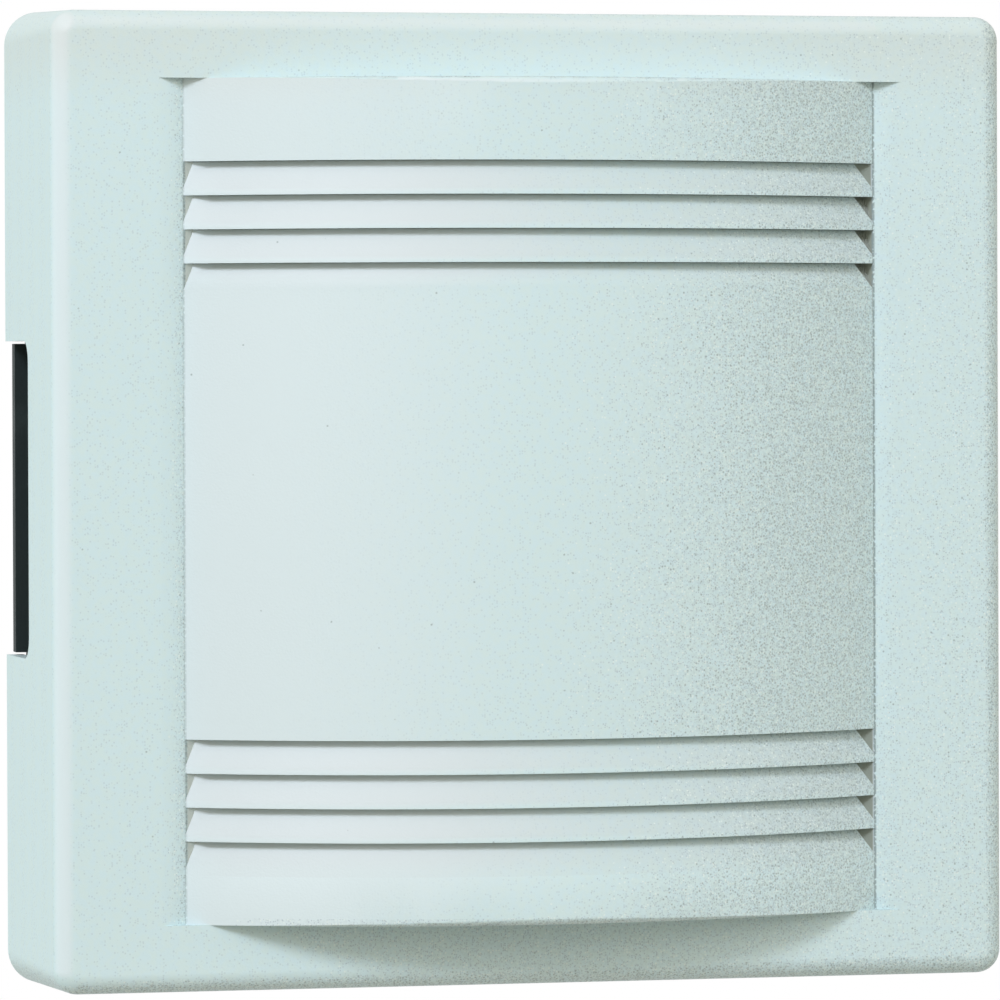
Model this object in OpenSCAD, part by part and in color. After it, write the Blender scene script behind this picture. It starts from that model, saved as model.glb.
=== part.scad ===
// Wired two-note chime box: a bowed, louvred cover over a base plate that carries
// two tone bars, a solenoid with a sprung plunger, and a terminal block.
// The part is drawn in a wall frame (x right, y up, z out of the wall) and turned upright at the end.

/* [Cover] */
// Width and height of the cover where its front edge starts to round
cover_size = 130; // [122:1:150]
// Distance from the wall to the flat front face
cover_depth = 35; // [34:0.5:45]
// Draft of the side walls, in degrees
wall_draft = 2.5; // [1:0.25:3.5]
// Radius of the rounded front edge
edge_r = 2.75; // [1.5:0.25:3]
// Corner radius where the front edge starts to round
corner_r = 3.25; // [3.25:0.25:6]
// Thickness of the side walls
side_wall = 2.2; // [1.6:0.1:2.6]
// Thickness of the front face
face_wall = 2.6; // [2.2:0.1:3.2]
// Height of the notch in the rear edge of each side
notch_h = 42.8; // [30:0.2:50]
// How far the notch reaches forward from the wall
notch_d = 16.5; // [10:0.5:20]
// Corner radius of the notch
notch_r = 3; // [1:0.5:4]
// Radius of the pillars that stop the cover on the base
pillar_r = 2.5; // [2:0.25:3]

/* [Bowed panel] */
// Height of the panel
panel_h = 112; // [104:1:116]
// Width of the panel between its side creases
panel_w = 94.6; // [80:0.2:98]
// How far the panel stands out of the face at its middle
bow_rise = 11.5; // [8:0.25:14]
// Depth of the troughs along the panel's sides
trough_d = 1.7; // [1:0.1:2]
// Width of the bevel beside each trough
bevel_w = 3.4; // [2:0.1:5]
// Thickness of the panel's wall
panel_wall = 2.2; // [1.6:0.1:2.6]
// Radius of the rounding on the panel's top and bottom edges, which runs out at the creases
lip_r = 1.3; // [0.8:0.1:2]

/* [Louvres] */
// Distance from the panel's middle to the outermost slot edge
slot_top = 45; // [42:0.5:48]
// Spacing of the slots
slot_pitch = 4.5; // [4:0.1:5]
// Slots in each group
slot_count = 4; // [2:1:5]
// Upright lip at the front of each slat
slat_lip = 1; // [0.6:0.1:1.4]
// How far each ramp recedes behind the panel's surface
ramp_d = 2.6; // [2:0.1:3.5]
// Gap between a slat's lower edge and the ramp below it, as seen from the front
slot_gap = 0.15; // [0.1:0.05:0.8]
// Thickness of a slat at its inner edge
slat_tip = 1.2; // [0.8:0.1:1.6]
// Width of a slat's underside
slat_foot = 1.6; // [1.2:0.1:2]

/* [Base plate] */
// Thickness of the plate
base_t = 2.5; // [2:0.25:3.5]
// How far the side tongues stop short of the cover's outside
tongue_inset = 0.9; // [0.5:0.1:1.5]
// Height of the locating tabs
tab_h = 6; // [4:0.5:9]
// Length of a locating tab
tab_w = 12; // [8:1:16]
// Height of the locating tabs above and below the middle
tab_at = 36; // [30:1:44]
// Thickness of the tabs
tab_t = 1.8; // [1.4:0.1:2.4]
// Width of the wall fixing slots
fix_slot_w = 4.5; // [4:0.5:5.5]
// Length of the wall fixing slots
fix_slot_l = 9; // [7:0.5:12]
// Distance between the wall fixing slots
fix_spacing = 108; // [106:1:112]
// Width of the cable entry
cable_w = 22; // [14:1:24]
// Height of the cable entry
cable_h = 11; // [8:0.5:12]
// Distance of the cable entry below the middle
cable_drop = 22; // [20:0.5:23]

/* [Tone bars] */
// Length of a tone bar
bar_l = 100; // [90:1:108]
// Width of a tone bar
bar_w = 19; // [14:0.5:20]
// Thickness of a tone bar
bar_t = 2.5; // [2:0.1:3]
// Distance of each bar from the cover's side
bar_inset = 21; // [20:0.25:23]
// Share of the length from a bar's end to its still point
node_share = 0.224; // [0.2:0.002:0.24]
// Radius of the pegs that carry the bars
peg_r = 2; // [1.5:0.1:2.4]
// Radius of the holes in the bars
bar_hole_r = 3.6; // [3.4:0.1:4]
// Radius of a grommet's flanges
flange_r = 5; // [4.4:0.1:5.5]
// Thickness of a grommet's flanges
flange_t = 1.4; // [1:0.1:1.8]
// Thickness of a retaining clip
clip_t = 1; // [0.6:0.1:1.4]
// Radius of a retaining clip
clip_r = 4; // [3.5:0.1:4.6]
// Thickness of the posts that hold the pegs
post_t = 5; // [4:0.5:6]
// Width of the posts
post_w = 9; // [7:0.5:11]

/* [Solenoid] */
// Distance from the wall to the plunger's axis
axis_z = 16.5; // [16:0.25:18]
// Length of the bobbin between the yoke's cheeks
coil_l = 36; // [32:0.5:40]
// Radius of the bobbin's flanges
coil_r = 10; // [9:0.25:10.25]
// Thickness of the bobbin's flanges
coil_flange_t = 1.2; // [0.8:0.1:1.6]
// Wall of the bobbin's tube
tube_wall = 1; // [0.8:0.1:1.4]
// Thickness of the tape over the winding
wrap_t = 0.4; // [0.2:0.1:0.6]
// Thickness of the yoke's steel
yoke_t = 1.5; // [1:0.1:2]
// Width of the yoke
yoke_w = 21; // [20.5:0.25:24]
// Distance of the yoke's screws from the middle
yoke_screw_x = 25; // [24.5:0.25:27]
// Width of the tabs that hold the keeper
keeper_tab_w = 8; // [5:0.5:12]
// Radius of the fixing screws' shanks
screw_r = 1.45; // [1.2:0.05:1.6]
// Radius of the fixing screws' heads
screw_head_r = 2.8; // [2.4:0.1:3]
// Height of the fixing screws' heads
screw_head_h = 1.8; // [1.2:0.1:2.2]

/* [Plunger] */
// Radius of the steel core
core_r = 4; // [3:0.1:4.5]
// Length of the steel core
core_l = 44; // [40:0.5:48]
// Length of the left striker tip outside the core
stub_l = 5; // [4.5:0.25:6]
// Radius of the striker tips
tip_r = 2; // [1.7:0.1:2.4]
// Length of the spigot that fixes a tip in the core
spigot_l = 5; // [3:0.5:8]
// Travel from rest towards the right bar
travel_right = 8; // [5:0.25:9]
// Travel from rest towards the left bar
travel_left = 2; // [1:0.25:3]
// Radius of the spring's collar
collar_r = 6.2; // [6:0.1:7]
// Thickness of the spring's collar
collar_t = 1.2; // [0.8:0.1:1.6]
// Radius of the spring's wire
wire_r = 0.35; // [0.25:0.05:0.45]
// Open coils in the return spring
spring_turns = 3; // [2:1:4]
// Gap between the closed coils at the spring's ends
spring_end_gap = 0.5; // [0.45:0.05:0.7]

/* [Terminals] */
// Width of the terminal block
block_w = 30; // [28:0.5:34]
// Height of the terminal block
block_h = 14; // [12:0.5:15]
// Depth of the terminal block
block_d = 11; // [10:0.5:13]
// Distance of the terminal block below the middle
block_drop = 38; // [37:0.5:39]
// Distance of each terminal from the middle
terminal_x = 8; // [7.5:0.25:9]
// Width of a terminal's clamp
clamp_w = 5; // [4.4:0.1:5.4]
// Height of a terminal's clamp
clamp_d = 6.5; // [5.5:0.25:7]
// Radius of a terminal's screw
terminal_screw_r = 1.5; // [1.2:0.1:1.7]
// Radius of the holes for the bell wire
wire_hole_r = 1.5; // [1:0.1:1.6]
// Radius of the coil leads
lead_r = 0.65; // [0.4:0.05:0.8]

/* [Clearances] */
// Gap between the cover and the base
cover_gap = 0.35; // [0.25:0.05:0.5]
// Gap between pieces that are fixed together
fit_gap = 0.1; // [0.05:0.01:0.15]
// Gap round the sliding core, and left in front of each bar at the end of its stroke
run_gap = 0.3; // [0.2:0.05:0.4]

/* [Hidden] */
$fn = 64;

// Extra length on cutters and on pieces that run into each other
over = 1;
sides = [-1, 1];

// Cover walls: half widths at a distance from the wall
draft_slope = tan(wall_draft);
wall_run = cover_depth - edge_r;
corner_at = cover_size / 2 - corner_r;
face_in = cover_depth - face_wall;
function outer_half(z) = cover_size / 2 + (wall_run - z) * draft_slope;
function inner_half(z) = outer_half(z) - side_wall;

// Bowed panel: a cylinder whose axis stands upright behind the wall
crease_x = panel_w / 2;
bow_sag = bow_rise + trough_d;
bow_r = (crease_x * crease_x + bow_sag * bow_sag) / (2 * bow_sag);
bow_z = cover_depth + bow_rise - bow_r;
bow_half = asin(crease_x / bow_r);
lip_sag = bow_sag - lip_r;
lip_bow_r = (crease_x * crease_x + lip_sag * lip_sag) / (2 * lip_sag);
lip_bow_z = cover_depth + bow_rise - lip_bow_r;
lip_half = asin(crease_x / lip_bow_r);
bevel_x = crease_x + bevel_w;
panel_top = panel_h / 2;
slat_d = ramp_d + slat_tip;
cheek_past_slat = 0.6;
cheek_d = slat_d + cheek_past_slat;
cheek_t = side_wall;
cheek_bite = 0.8;
crease_break = 0.05;
function on_cheek(r) = [r * sin(bow_half), bow_z + r * cos(bow_half)];

// Slot edges, from the outermost inwards
slot_edges = [for (i = [0 : slot_count - 1]) slot_top - i * slot_pitch];
slot_last = slot_edges[slot_count - 1];

// Base plate and what stands on it
base_half = inner_half(base_t) - cover_gap;
base_corner = 2;
tongue_half = outer_half(0) - tongue_inset;
tab_out = inner_half(base_t + tab_h) - cover_gap;
pad_t = 1.5;
pad_z = base_t + pad_t;
pilot_floor = 0.7;
pilot_r = screw_r + fit_gap;
boss_r = 4;
pillar_inset = 2;
pillar_at = inner_half(face_in) - pillar_r - pillar_inset;

// Tone bars and their carriers
bar_x = cover_size / 2 - bar_inset;
bar_face = bar_x - bar_t / 2;
bar_back = bar_x + bar_t / 2;
peg_y = bar_l * (0.5 - node_share);
grommet_back = bar_back + fit_gap + flange_t;
grommet_face = bar_face - fit_gap - flange_t;
post_x = grommet_back + fit_gap;
post_top = axis_z + post_w / 2;
clip_x = grommet_face - fit_gap - clip_t;
peg_past_clip = 0.8;
peg_end = clip_x - peg_past_clip;
gusset = 6;

// Solenoid
cheek_x = coil_l / 2;
yoke_out = cheek_x + yoke_t;
bobbin_half = cheek_x - fit_gap;
bore_r = core_r + run_gap;
tube_r = bore_r + tube_wall;
winding_half = bobbin_half - coil_flange_t - fit_gap;
wrap_inset = 0.3;
wrap_out = coil_r - wrap_inset;
winding_out = wrap_out - wrap_t - fit_gap;
coil_to_keeper = 1;
yoke_front = axis_z + coil_r + coil_to_keeper;
ear_past_screw = 3.5;
yoke_ear = yoke_screw_x + ear_past_screw;
keeper_z = yoke_front + fit_gap;
keeper_past_yoke = 2;
keeper_half = yoke_out + keeper_past_yoke;
stake_h = 0.4;

// Plunger
tip_left = -(bar_face - travel_left - run_gap);
tip_right = bar_face - travel_right - run_gap;
core_left = tip_left + stub_l;
core_right = core_left + core_l;
spigot_r = tip_r * 0.7;
spring_clear = 0.7;
spring_r = bore_r + spring_clear;
spring_from = -yoke_out - fit_gap - wire_r;
spring_to = core_left + fit_gap + wire_r;
closed_pitch = 2 * wire_r + spring_end_gap;
open_pitch = (spring_from - spring_to - 2 * closed_pitch) / spring_turns;
rings_per_turn = 8;
wire_sides = 6;

// Terminals
block_z = base_t + fit_gap;
block_top = block_z + block_d;
block_y = -block_drop;
clamp_z = block_z + fit_gap;
clamp_top = clamp_z + clamp_d;
wire_z = clamp_z + clamp_d * 0.45;
well_r = terminal_screw_r + 1;
head_drop = 0.8;

// Route of the right coil lead, from under the coil to the side of the terminal block
lead_inset = 2;
lead_start = [winding_half - lead_inset, -wrap_out - lead_r - fit_gap, axis_z];
lead_end = [terminal_x + clamp_w / 2 + 2 * fit_gap, block_y, wire_z];
lead_points = [
    lead_start, lead_start + [0.4, -1.6, -0.8], [15.8, -14, 14], [17, -17.5, 11.5], [18.6, -21.5, 9.4],
    [20, -26, 8], [20.6, -30, 7.2], [20.4, -33.5, lead_end.z], [19.2, -36.4, lead_end.z],
    [17.4, lead_end.y, lead_end.z], [15.8, lead_end.y, lead_end.z], lead_end
];
lead_sides = 8;

// Turns the wall frame upright: y becomes the height and z points out of the wall, along -Y
module upright() {
    rotate([90, 0, 0]) children();
}

// Turns a shape drawn along z so that it lies on the plunger's axis, along x
module on_axis() {
    translate([0, 0, axis_z]) rotate([0, 90, 0]) children();
}

module mirror_copy() {
    children();
    mirror([1, 0, 0]) children();
}

// A solid of revolution on the plunger's axis, from x = a to x = b
module rod(r, a, b) {
    translate([a, 0, 0]) on_axis() cylinder(r = r, h = b - a);
}

module ring(r_out, r_in, a, b) {
    difference() {
        rod(r_out, a, b);
        rod(r_in, a - over, b + over);
    }
}

module rounded_rect(w, h, r) {
    square([w, h - 2 * r], center = true);
    square([w - 2 * r, h], center = true);
    for (x = sides, y = sides)
        translate([x * (w / 2 - r), y * (h / 2 - r)]) circle(r);
}

module slot_2d(w, l) {
    square([w, l - w], center = true);
    for (y = sides) translate([0, y * (l - w) / 2]) circle(w / 2);
}

// Outline of the cover's wall at a corner: distance from the corner's centre, against depth
module outer_profile() {
    polygon([[0, 0], [outer_half(0) - corner_at, 0], [corner_r, wall_run], [0, wall_run]]);
    translate([0, wall_run]) square([corner_r - edge_r, edge_r]);
    intersection() {
        translate([corner_r - edge_r, wall_run]) circle(edge_r);
        translate([corner_r - edge_r, wall_run]) square(edge_r);
    }
}

module inner_profile() {
    polygon([
        [0, -over], [inner_half(-over) - corner_at, -over], [inner_half(face_in) - corner_at, face_in],
        [0, face_in]
    ]);
}

// A tub with drafted walls: the profile turned at the corners and drawn along the sides
module tub(rear) {
    translate([-corner_at, -corner_at, rear]) cube([2 * corner_at, 2 * corner_at, tub_height(rear) - rear]);
    for (turn = [0 : 90 : 270]) rotate([0, 0, turn]) {
        translate([corner_at, corner_at, 0]) rotate_extrude(angle = 90) children();
        translate([corner_at, corner_at, 0]) rotate([90, 0, 0]) linear_extrude(2 * corner_at) children();
    }
}

function tub_height(rear) = rear < 0 ? face_in : cover_depth;

// Sweeps an outline (distance from the bow's axis, height) round the bowed panel
module bow_sweep(half_angle, centre_z = bow_z) {
    translate([0, 0, centre_z]) rotate([-90, 0, 0]) rotate([0, 0, -90 - half_angle])
        rotate_extrude(angle = 2 * half_angle) children();
}

// Draws an outline in (x, z) along the height of the panel
module upright_prism(height) {
    rotate([90, 0, 0]) linear_extrude(height, center = true) children();
}

module panel_window() {
    bevel_over = over * bevel_w / trough_d;
    inner = on_cheek(bow_r - cheek_d - over);
    upright_prism(panel_h) polygon([
        [-bevel_x - bevel_over, cover_depth + over], [bevel_x + bevel_over, cover_depth + over],
        on_cheek(bow_r), inner, [-inner.x, inner.y], [-crease_x, cover_depth - trough_d]
    ]);
}

module cheek_bars() {
    root_z = face_in + face_wall / 5;
    tip = on_cheek(bow_r - cheek_d);
    mirror_copy() upright_prism(panel_h + 2 * cheek_t) polygon([
        [crease_x + cheek_t, root_z], [tip.x + cheek_t, tip.y], [tip.x - over, tip.y], [tip.x - over, root_z]
    ]);
}

// One slat: lip, ramp and inner edge, above its lower edge
module slat_2d(low) {
    high = low + slot_pitch;
    polygon([
        [bow_r - slat_foot, low], [bow_r, low], [bow_r, low + slat_lip], [bow_r - ramp_d, high - slot_gap],
        [bow_r - slat_d, high - slot_gap]
    ]);
}

// A plain stretch of panel whose top edge is a ramp under the slot edge at edge
module ramped_band_2d(low, edge) {
    polygon([
        [bow_r - panel_wall, low], [bow_r, low], [bow_r, edge - slot_pitch + slat_lip],
        [bow_r - ramp_d, edge - slot_gap], [bow_r - slat_d, edge - slot_gap],
        [bow_r - panel_wall, edge - slot_pitch]
    ]);
}

module louvres() {
    bow_sweep(bow_half + cheek_bite) {
        translate([bow_r - panel_wall, slot_top]) square([panel_wall, panel_top - slot_top]);
        ramped_band_2d(-slot_last, slot_last);
        ramped_band_2d(-panel_top, -slot_top);
        for (i = [1 : slot_count - 1]) {
            slat_2d(slot_edges[i]);
            slat_2d(-slot_edges[slot_count - 1 - i]);
        }
    }
}

// Flat ends of the bowed panel, from its front to the back of the face
module panel_ends() {
    chord = bow_r - bow_rise - face_wall;
    intersection() {
        for (y = [-panel_top, panel_top - panel_wall])
            bow_sweep(bow_half) translate([chord - over, y]) square([bow_rise + face_wall + over, panel_wall]);
        translate([-bevel_x, -panel_top, face_in]) cube([2 * bevel_x, panel_h, face_wall + bow_rise + over]);
    }
}

// What the rounding takes off the panel's top and bottom edges, in front of the face
module lip_rounding() {
    centre = lip_bow_r - lip_r + crease_break;
    intersection() {
        for (flip = [0, 1]) mirror([0, flip, 0]) bow_sweep(lip_half, lip_bow_z) difference() {
            translate([lip_bow_r - lip_r, panel_top - lip_r]) square(lip_r + over);
            translate([centre, panel_top - lip_r + crease_break]) circle(lip_r);
        }
        translate([-bevel_x, -panel_h, cover_depth]) cube([2 * bevel_x, 2 * panel_h, bow_rise + over]);
    }
}

module side_notches() {
    reach = outer_half(0) + over;
    depth = notch_d + notch_r;
    mirror_copy() translate([inner_half(0) - 2 * side_wall, 0, (notch_d - notch_r) / 2])
        rotate([0, 90, 0]) linear_extrude(reach - inner_half(0) + 2 * side_wall)
            rounded_rect(depth, notch_h, notch_r);
}

module front_cover() {
    color([0.85, 0.91, 0.90]) upright() difference() {
        union() {
            difference() {
                union() {
                    difference() {
                        tub(0) outer_profile();
                        tub(-over) inner_profile();
                    }
                    cheek_bars();
                }
                panel_window();
            }
            louvres();
            panel_ends();
            for (x = sides, y = sides)
                translate([x * pillar_at, y * pillar_at, base_t + fit_gap])
                    cylinder(r = pillar_r, h = face_in + face_wall / 5 - base_t - fit_gap);
        }
        lip_rounding();
        side_notches();
    }
}

// A post with its peg for the right tone bar, braced from behind
module bar_post() {
    translate([post_x, -post_w / 2, base_t - fit_gap]) cube([post_t, post_w, post_top - base_t + fit_gap]);
    rod(peg_r, peg_end, post_x + post_t / 2);
    rotate([90, 0, 0]) linear_extrude(post_w / 3, center = true) polygon([
        [post_x + post_t - fit_gap, base_t - fit_gap], [post_x + post_t + gusset, base_t - fit_gap],
        [post_x + post_t - fit_gap, post_top - over]
    ]);
}

module locating_tabs() {
    mirror_copy() for (y = sides)
        translate([tab_out - tab_t, y * tab_at - tab_w / 2, base_t - fit_gap])
            cube([tab_t, tab_w, tab_h + fit_gap]);
}

module base_plate() {
    color([0.10, 0.12, 0.13]) upright() difference() {
        union() {
            linear_extrude(base_t) {
                rounded_rect(2 * base_half, 2 * base_half, base_corner);
                square([2 * tongue_half, notch_h - 2 * cover_gap], center = true);
            }
            locating_tabs();
            mirror_copy() for (y = sides) translate([0, y * peg_y, 0]) bar_post();
            translate([-cheek_x, -yoke_w / 3, base_t - fit_gap]) cube([coil_l, yoke_w * 2 / 3, pad_t + fit_gap]);
            for (x = sides) translate([x * yoke_screw_x, 0, base_t - fit_gap])
                cylinder(r = boss_r, h = pad_t + fit_gap);
        }
        for (x = sides) translate([x * yoke_screw_x, 0, pilot_floor]) cylinder(r = pilot_r, h = pad_z);
        translate([0, block_y, pilot_floor]) cylinder(r = pilot_r, h = pad_z);
        for (y = sides) translate([0, y * fix_spacing / 2, -over])
            linear_extrude(base_t + 2 * over) slot_2d(fix_slot_w, fix_slot_l);
        translate([0, -cable_drop, -over]) linear_extrude(base_t + 2 * over)
            rotate(90) slot_2d(cable_h, cable_w);
    }
}

module tone_bar() {
    color([0.72, 0.73, 0.75]) upright() difference() {
        translate([bar_face, -bar_l / 2, axis_z - bar_w / 2]) cube([bar_t, bar_l, bar_w]);
        for (y = sides) translate([0, y * peg_y, 0]) rod(bar_hole_r, bar_face - over, bar_back + over);
    }
}

module tone_bar_left() {
    mirror([1, 0, 0]) tone_bar();
}

module tone_bar_right() {
    tone_bar();
}

module bar_grommets() {
    waist_r = bar_hole_r - fit_gap;
    color([0.16, 0.16, 0.17]) upright() for (y = sides) translate([0, y * peg_y, 0]) difference() {
        union() {
            rod(flange_r, grommet_face, grommet_face + flange_t);
            rod(waist_r, grommet_face, grommet_back);
            rod(flange_r, grommet_back - flange_t, grommet_back);
        }
        rod(peg_r + fit_gap, grommet_face - over, grommet_back + over);
    }
}

module bar_grommets_left() {
    mirror([1, 0, 0]) bar_grommets();
}

module bar_grommets_right() {
    bar_grommets();
}

module bar_clips() {
    color([0.60, 0.61, 0.63]) upright() mirror_copy() for (y = sides)
        translate([0, y * peg_y, 0]) ring(clip_r, peg_r + fit_gap, clip_x, clip_x + clip_t);
}

module coil_bobbin() {
    color([0.90, 0.88, 0.82]) upright() difference() {
        union() {
            rod(tube_r, -yoke_out, yoke_out);
            for (x = [-bobbin_half, bobbin_half - coil_flange_t]) rod(coil_r, x, x + coil_flange_t);
        }
        rod(bore_r, -yoke_out - over, yoke_out + over);
    }
}

module coil_winding() {
    color([0.72, 0.38, 0.18])
        upright() ring(winding_out, tube_r + fit_gap, -winding_half, winding_half);
}

module coil_wrap() {
    color([0.85, 0.75, 0.35])
        upright() ring(wrap_out, wrap_out - wrap_t, -winding_half, winding_half);
}

module solenoid_yoke() {
    color([0.66, 0.67, 0.69]) upright() difference() {
        union() {
            translate([-yoke_ear, -yoke_w / 2, pad_z]) cube([2 * yoke_ear, yoke_w, yoke_t]);
            mirror_copy() {
                translate([cheek_x, -yoke_w / 2, pad_z]) cube([yoke_t, yoke_w, yoke_front - pad_z]);
                translate([cheek_x, -keeper_tab_w / 2, pad_z])
                    cube([yoke_t, keeper_tab_w, keeper_z + yoke_t + stake_h - pad_z]);
            }
        }
        rod(tube_r + fit_gap, -yoke_out - over, yoke_out + over);
        for (x = sides) translate([x * yoke_screw_x, 0, pad_z - over])
            cylinder(r = pilot_r, h = yoke_t + 2 * over);
    }
}

module yoke_keeper() {
    color([0.66, 0.67, 0.69]) upright() difference() {
        translate([-keeper_half, -yoke_w / 2 + over, keeper_z]) cube([2 * keeper_half, yoke_w - 2 * over, yoke_t]);
        mirror_copy() translate([cheek_x - fit_gap, -keeper_tab_w / 2 - fit_gap, keeper_z - over])
            cube([yoke_t + 2 * fit_gap, keeper_tab_w + 2 * fit_gap, yoke_t + 2 * over]);
    }
}

// A cross-slotted screw: its head rests at height z and its shank runs down to the floor of the pilot
module fixing_screw(z, floor_z, shank_r, head_r, head_h) {
    slot_w = head_r * 0.3;
    slot_d = head_h * 0.5;
    translate([0, 0, floor_z]) cylinder(r = shank_r, h = z - floor_z + head_h / 2);
    difference() {
        translate([0, 0, z]) cylinder(r = head_r, h = head_h);
        for (turn = [0, 90]) translate([0, 0, z + head_h]) rotate([0, 0, turn])
            cube([head_r * 1.3, slot_w, 2 * slot_d], center = true);
    }
}

module yoke_screws() {
    color([0.75, 0.75, 0.76]) upright() for (x = sides) translate([x * yoke_screw_x, 0, 0])
        fixing_screw(pad_z + yoke_t + fit_gap / 2, pilot_floor + fit_gap, screw_r, screw_head_r, screw_head_h);
}

module plunger_core() {
    color([0.70, 0.71, 0.73]) upright() difference() {
        rod(core_r, core_left, core_right);
        rod(spigot_r + fit_gap, core_left - over, core_left + spigot_l + fit_gap);
        rod(spigot_r + fit_gap, core_right - spigot_l - fit_gap, core_right + over);
    }
}

// A striker with a domed end: its spigot sits in the core and its shank stands outside
module striker_tip(shank_l) {
    rotate_extrude() {
        translate([0, -spigot_l]) square([spigot_r, spigot_l + fit_gap]);
        translate([0, fit_gap / 2]) square([tip_r, shank_l - tip_r - fit_gap / 2]);
        intersection() {
            translate([0, shank_l - tip_r]) circle(tip_r);
            translate([0, shank_l - tip_r]) square(tip_r);
        }
    }
}

module striker_tip_left() {
    color([0.92, 0.91, 0.86]) upright() translate([core_left, 0, 0]) mirror([1, 0, 0])
        on_axis() striker_tip(core_left - tip_left);
}

module striker_tip_right() {
    color([0.92, 0.91, 0.86]) upright() translate([core_right, 0, 0])
        on_axis() striker_tip(tip_right - core_right);
}

module spring_collar() {
    gap = fit_gap / 2;
    color([0.20, 0.21, 0.22]) upright()
        ring(collar_r, tip_r + fit_gap, core_left - gap - collar_t, core_left - gap);
}

// Joins rings of points into a closed tube
module tube(rings, count) {
    last = len(rings) - 1;
    polyhedron(
        points = [for (ring = rings, p = ring) p],
        faces = concat(
            [[for (j = [count - 1 : -1 : 0]) j], [for (j = [0 : count - 1]) last * count + j]],
            [for (i = [0 : last - 1], j = [0 : count - 1], half = [0, 1])
                let (k = (j + 1) % count, a = i * count, b = a + count)
                half == 0 ? [a + j, a + k, b + k] : [a + j, b + k, b + j]]
        )
    );
}

// Rings square to a route, each turned from a fixed side direction
function route_dir(route, i) =
    let (d = route[min(i + 1, len(route) - 1)] - route[max(i - 1, 0)]) d / norm(d);
function tube_rings(route, r, count, side) = [
    for (i = [0 : len(route) - 1])
        let (
            d = route_dir(route, i),
            u_raw = cross(d, side),
            u = u_raw / norm(u_raw),
            v = cross(d, u)
        )
        [for (j = [0 : count - 1]) route[i] + r * (u * cos(360 * j / count) + v * sin(360 * j / count))]
];

// The spring has one closed coil at each end and open coils between them
function spring_run(turn) =
    closed_pitch * (min(turn, 1) + max(turn - 1 - spring_turns, 0))
    + open_pitch * min(max(turn - 1, 0), spring_turns);
spring_steps = (spring_turns + 2) * rings_per_turn;
spring_route = [
    for (i = [0 : spring_steps])
        let (turn = i / rings_per_turn)
        [
            spring_from - spring_run(turn),
            spring_r * cos(360 * turn),
            axis_z + spring_r * sin(360 * turn)
        ]
];
spring_self_gap = min([
    for (i = [0 : spring_steps], j = [i + rings_per_turn / 2 : spring_steps])
        norm(spring_route[i] - spring_route[j])
]) - 2 * wire_r;
echo(spring_self_gap = spring_self_gap);

module return_spring() {
    color([0.78, 0.78, 0.80])
        upright() tube(tube_rings(spring_route, wire_r, wire_sides, [1, 0, 0]), wire_sides);
}

module terminal_block() {
    cavity = clamp_w / 2 + fit_gap;
    color([0.87, 0.86, 0.82]) upright() difference() {
        translate([-block_w / 2, block_y - block_h / 2, block_z]) cube([block_w, block_h, block_d]);
        for (x = sides) translate([x * terminal_x, block_y, 0]) {
            translate([-cavity, -cavity, block_z - over]) cube([2 * cavity, 2 * cavity, clamp_d + 2 * fit_gap + over]);
            cylinder(r = well_r + fit_gap, h = block_top + over);
            translate([0, 0, wire_z]) rotate([-90, 0, 0]) cylinder(r = wire_hole_r, h = block_h);
            translate([0, 0, wire_z]) rotate([0, x * 90, 0]) cylinder(r = lead_r + fit_gap, h = block_w);
        }
        translate([0, block_y, 0]) {
            cylinder(r = pilot_r, h = block_top + over);
            translate([0, 0, block_top - screw_head_h - head_drop]) cylinder(r = screw_head_r + fit_gap, h = block_d);
        }
    }
}

module terminal_clamps() {
    color([0.80, 0.66, 0.34]) upright() for (x = sides) translate([x * terminal_x, block_y, 0]) difference() {
        translate([-clamp_w / 2, -clamp_w / 2, clamp_z]) cube([clamp_w, clamp_w, clamp_d]);
        translate([0, 0, wire_z]) rotate([90, 0, 0]) cylinder(r = wire_hole_r, h = clamp_w + over, center = true);
        translate([0, 0, wire_z]) cylinder(r = terminal_screw_r + fit_gap, h = clamp_d);
    }
}

module terminal_screws() {
    head_z = clamp_top + 2 * fit_gap;
    color([0.75, 0.75, 0.76]) upright() for (x = sides) translate([x * terminal_x, block_y, 0])
        fixing_screw(head_z, wire_z + wire_hole_r, terminal_screw_r, well_r, block_top - head_z - head_drop);
}

module block_screw() {
    color([0.75, 0.75, 0.76]) upright() translate([0, block_y, 0]) fixing_screw(
        block_top - screw_head_h - head_drop + fit_gap / 2, pilot_floor + fit_gap, screw_r, screw_head_r,
        screw_head_h
    );
}

module coil_lead() {
    color([0.68, 0.12, 0.10])
        upright() tube(tube_rings(lead_points, lead_r, lead_sides, [0, 0.35, 1]), lead_sides);
}

module coil_lead_left() {
    mirror([1, 0, 0]) coil_lead();
}

module coil_lead_right() {
    coil_lead();
}

front_cover();
base_plate();
tone_bar_left();
tone_bar_right();
bar_grommets_left();
bar_grommets_right();
bar_clips();
coil_bobbin();
coil_winding();
coil_wrap();
solenoid_yoke();
yoke_keeper();
yoke_screws();
plunger_core();
striker_tip_left();
striker_tip_right();
spring_collar();
return_spring();
terminal_block();
terminal_clamps();
terminal_screws();
block_screw();
coil_lead_left();
coil_lead_right();
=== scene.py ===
"""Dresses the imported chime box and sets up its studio.

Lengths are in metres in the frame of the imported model: +X right, +Z up and -Y out of the wall.
"""
import logging
import math
from dataclasses import dataclass, field
from enum import Enum
from typing import Any, Callable, List, Mapping, Optional, Sequence, Tuple, Union

import bmesh
import bpy
from mathutils import Matrix, Vector


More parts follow.
